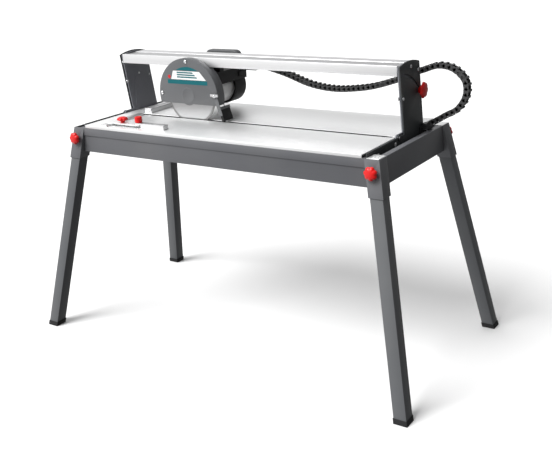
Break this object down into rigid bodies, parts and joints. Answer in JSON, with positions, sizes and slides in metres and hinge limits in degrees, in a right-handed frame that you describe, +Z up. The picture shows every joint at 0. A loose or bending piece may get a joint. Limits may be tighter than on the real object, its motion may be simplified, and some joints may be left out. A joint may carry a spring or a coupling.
{
  "type": "bridge tile cutter",
  "caption": "Bridge tile cutter on splayed plug-in legs: slotted table over a water tray, motor and guarded blade rolling under a tilting rail, with an energy chain.",
  "frame": {"origin": "on the floor under the middle of the table", "axes": "+X along the rail, to the right seen from the user's side; +Y away from the user; +Z up"},
  "size_m": [1.425, 0.723, 0.935],
  "materials": {
    "frame_paint": "satin powder coat, mid grey",
    "bracket_paint": "satin powder coat, near black",
    "table_metal": "brushed zinc-plated steel sheet",
    "rail_metal": "clear anodised extrusion",
    "fastener_steel": "bright zinc plated",
    "dark_fastener": "blackened steel",
    "knob_red": "red moulded nylon",
    "black_plastic": "grained black plastic",
    "grey_plastic": "grey moulded plastic",
    "black_rubber": "moulded rubber",
    "motor_metal": "cast aluminium",
    "blade_steel": "ground steel with a sintered rim",
    "roller_nylon": "natural nylon",
    "shaft_steel": "turned steel"
  },
  "bodies": {
    "frame": {"apron_front": "frame_paint", "apron_rear": "frame_paint", "end_plate_left": "frame_paint", "end_plate_right": "frame_paint", "leg_socket_front_left": "frame_paint", "leg_socket_front_right": "frame_paint", "leg_socket_rear_left": "frame_paint", "leg_socket_rear_right": "frame_paint", "cross_beams": "frame_paint", "table_top": "table_metal", "corner_covers": "table_metal", "water_tray": "black_plastic", "drain_plug": "black_plastic", "water_pump": "black_plastic", "post_left": "bracket_paint", "post_right": "bracket_paint", "frame_screws": "fastener_steel", "pivot_bolts": "dark_fastener", "chain_anchor": "black_plastic", "guide_bar": "rail_metal", "stop_profile": "rail_metal"},
    "tilt_head": {"guide_rail": "rail_metal", "tilt_arm_left": "bracket_paint", "tilt_arm_right": "bracket_paint", "energy_chain": "black_plastic"},
    "carriage": {"carriage": "black_plastic", "push_handle": "grey_plastic", "motor_can": "motor_metal", "motor_bearings": "shaft_steel", "rear_housing": "black_plastic", "guard_shell": "frame_paint", "guard_cover": "frame_paint", "guard_screws": "fastener_steel"},
    "spindle": {"motor_shaft": "shaft_steel", "blade_clamp": "shaft_steel", "blade": "blade_steel"},
    "roller_left": {"roller_pair_left": "roller_nylon"},
    "roller_right": {"roller_pair_right": "roller_nylon"},
    "switch": {"switch_rocker": "black_plastic"},
    "splash_flap": {"flap_bracket": "motor_metal", "rubber_flap": "black_rubber"},
    "wing_nut": {"wing_nut": "fastener_steel"},
    "bevel_knob_left": {"bevel_knob_left": "knob_red"},
    "bevel_knob_right": {"bevel_knob_right": "knob_red"},
    "fence_slider": {"fence_slider": "motor_metal"},
    "fence_bar": {"fence_bar": "rail_metal"},
    "fence_knob": {"fence_knob": "knob_red"},
    "swivel_knob": {"swivel_knob": "knob_red"},
    "leg_front_left": {"leg_front_left": "frame_paint", "foot_front_left": "black_rubber"},
    "leg_knob_front_left": {"leg_knob_front_left": "knob_red"},
    "leg_front_right": {"leg_front_right": "frame_paint", "foot_front_right": "black_rubber"},
    "leg_knob_front_right": {"leg_knob_front_right": "knob_red"},
    "leg_rear_left": {"leg_rear_left": "frame_paint", "foot_rear_left": "black_rubber"},
    "leg_knob_rear_left": {"leg_knob_rear_left": "knob_red"},
    "leg_rear_right": {"leg_rear_right": "frame_paint", "foot_rear_right": "black_rubber"},
    "leg_knob_rear_right": {"leg_knob_rear_right": "knob_red"}
  },
  "joints": [
    {"name": "bevel_tilt", "type": "hinge", "parent": "frame", "child": "tilt_head", "pos_m": [0, -0.028, 0.723], "axis": [1, 0, 0], "range_deg": [0, 45], "deforming": ["rubber_flap"]},
    {"name": "carriage_slide", "type": "slide", "parent": "tilt_head", "child": "carriage", "axis": [1, 0, 0], "range_m": [-0.165, 0.595], "deforming": ["energy_chain"]},
    {"name": "blade_spin", "type": "hinge", "parent": "carriage", "child": "spindle", "pos_m": [-0.224, -0.028, 0.806], "axis": [0, 1, 0], "continuous": true},
    {"name": "roller_spin_left", "type": "hinge", "parent": "carriage", "child": "roller_left", "pos_m": [-0.299, 0.036, 0.9109], "axis": [0, 1, 0], "continuous": true},
    {"name": "roller_spin_right", "type": "hinge", "parent": "carriage", "child": "roller_right", "pos_m": [-0.149, 0.036, 0.9109], "axis": [0, 1, 0], "continuous": true},
    {"name": "switch_rock", "type": "hinge", "parent": "carriage", "child": "switch", "pos_m": [-0.1595, 0.164, 0.848], "axis": [0, 0, 1], "range_deg": [-6, 6]},
    {"name": "flap_swing", "type": "hinge", "parent": "carriage", "child": "splash_flap", "pos_m": [-0.112, -0.02, 0.812], "axis": [0, 1, 0], "range_deg": [-60, 0]},
    {"name": "wing_nut_turn", "type": "hinge", "parent": "carriage", "child": "wing_nut", "pos_m": [-0.112, -0.05, 0.812], "axis": [0, 1, 0], "continuous": true},
    {"name": "bevel_knob_left_turn", "type": "hinge", "parent": "tilt_head", "child": "bevel_knob_left", "pos_m": [-0.545, 0.10852, 0.83878], "axis": [1, 0, 0], "continuous": true},
    {"name": "bevel_knob_right_turn", "type": "hinge", "parent": "tilt_head", "child": "bevel_knob_right", "pos_m": [0.545, 0.10852, 0.83878], "axis": [1, 0, 0], "continuous": true},
    {"name": "fence_slide", "type": "slide", "parent": "frame", "child": "fence_slider", "axis": [0, 1, 0], "range_m": [-0.02, 0.04]},
    {"name": "fence_swivel", "type": "hinge", "parent": "fence_slider", "child": "fence_bar", "pos_m": [-0.32, -0.192, 0.735], "axis": [0, 0, 1], "range_deg": [-20, 45]},
    {"name": "fence_knob_turn", "type": "hinge", "parent": "fence_slider", "child": "fence_knob", "pos_m": [-0.391, -0.192, 0.745], "axis": [0, 0, 1], "continuous": true},
    {"name": "swivel_knob_turn", "type": "hinge", "parent": "fence_slider", "child": "swivel_knob", "pos_m": [-0.32, -0.192, 0.745], "axis": [0, 0, 1], "continuous": true},
    {"name": "leg_front_left_pull", "type": "slide", "parent": "frame", "child": "leg_front_left", "axis": [-0.188, -0.1705, -0.9673], "range_m": [0, 0.11]},
    {"name": "leg_knob_front_left_turn", "type": "hinge", "parent": "frame", "child": "leg_knob_front_left", "pos_m": [-0.55861, -0.25099, 0.681], "axis": [0, 1, 0], "continuous": true},
    {"name": "leg_front_right_pull", "type": "slide", "parent": "frame", "child": "leg_front_right", "axis": [0.188, -0.1705, -0.9673], "range_m": [0, 0.11]},
    {"name": "leg_knob_front_right_turn", "type": "hinge", "parent": "frame", "child": "leg_knob_front_right", "pos_m": [0.55861, -0.25099, 0.681], "axis": [0, 1, 0], "continuous": true},
    {"name": "leg_rear_left_pull", "type": "slide", "parent": "frame", "child": "leg_rear_left", "axis": [-0.188, 0.1705, -0.9673], "range_m": [0, 0.11]},
    {"name": "leg_knob_rear_left_turn", "type": "hinge", "parent": "frame", "child": "leg_knob_rear_left", "pos_m": [-0.55861, 0.25099, 0.681], "axis": [0, 1, 0], "continuous": true},
    {"name": "leg_rear_right_pull", "type": "slide", "parent": "frame", "child": "leg_rear_right", "axis": [0.188, 0.1705, -0.9673], "range_m": [0, 0.11]},
    {"name": "leg_knob_rear_right_turn", "type": "hinge", "parent": "frame", "child": "leg_knob_rear_right", "pos_m": [0.55861, 0.25099, 0.681], "axis": [0, 1, 0], "continuous": true}
  ],
  "couplings": [
    {"joint": "roller_spin_left", "follows": "carriage_slide", "rad_per_m": 104.17},
    {"joint": "roller_spin_right", "follows": "carriage_slide", "rad_per_m": 104.17}
  ]
}
